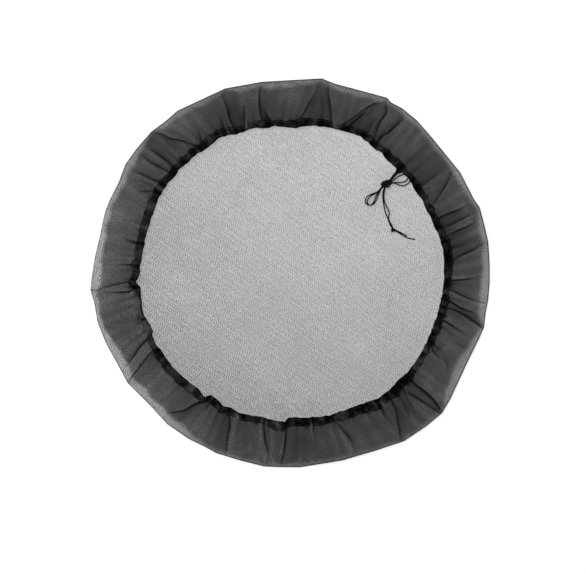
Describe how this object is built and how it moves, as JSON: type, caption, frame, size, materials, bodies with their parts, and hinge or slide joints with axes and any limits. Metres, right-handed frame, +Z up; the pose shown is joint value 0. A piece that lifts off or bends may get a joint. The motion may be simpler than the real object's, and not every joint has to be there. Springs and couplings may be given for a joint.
{
  "type": "round netting cover with drawstring",
  "caption": "Round netting cover, lying flat, with a gathered skirt turned inwards, a hem casing and a drawstring tied in a bow.",
  "frame": {"origin": "middle of the flat lying face, underneath the panel", "axes": "+Z up out of the mouth, away from the flat panel; +X to the right and +Y to the top of the picture"},
  "size_m": [0.5996, 0.5828, 0.0114],
  "materials": {
    "panel_netting": "fine open netting, one layer",
    "skirt_netting": "fine open netting, gathered",
    "hem_netting": "folded and stitched netting",
    "cord": "round braided cord, matt"
  },
  "bodies": {
    "cover": {"mesh_panel": "panel_netting", "gathered_skirt": "skirt_netting", "hem_casing": "hem_netting", "drawstring": "cord"},
    "bow": {"bow_knot": "cord", "tail_knot": "cord", "cord_lead_a": "cord", "cord_lead_b": "cord", "left_loop_outer": "cord", "left_loop_inner": "cord", "right_loop_outer": "cord", "right_loop_inner": "cord", "cord_tail_a": "cord", "cord_tail_b": "cord", "cord_tip_short": "cord", "cord_tip_long": "cord"}
  },
  "joints": [
    {"name": "bow_lift", "type": "hinge", "parent": "cover", "child": "bow", "pos_m": [0.16468, 0.15492, 0.0089], "axis": [-0.7324, 0.6809, 0], "range_deg": [0, 100]}
  ]
}
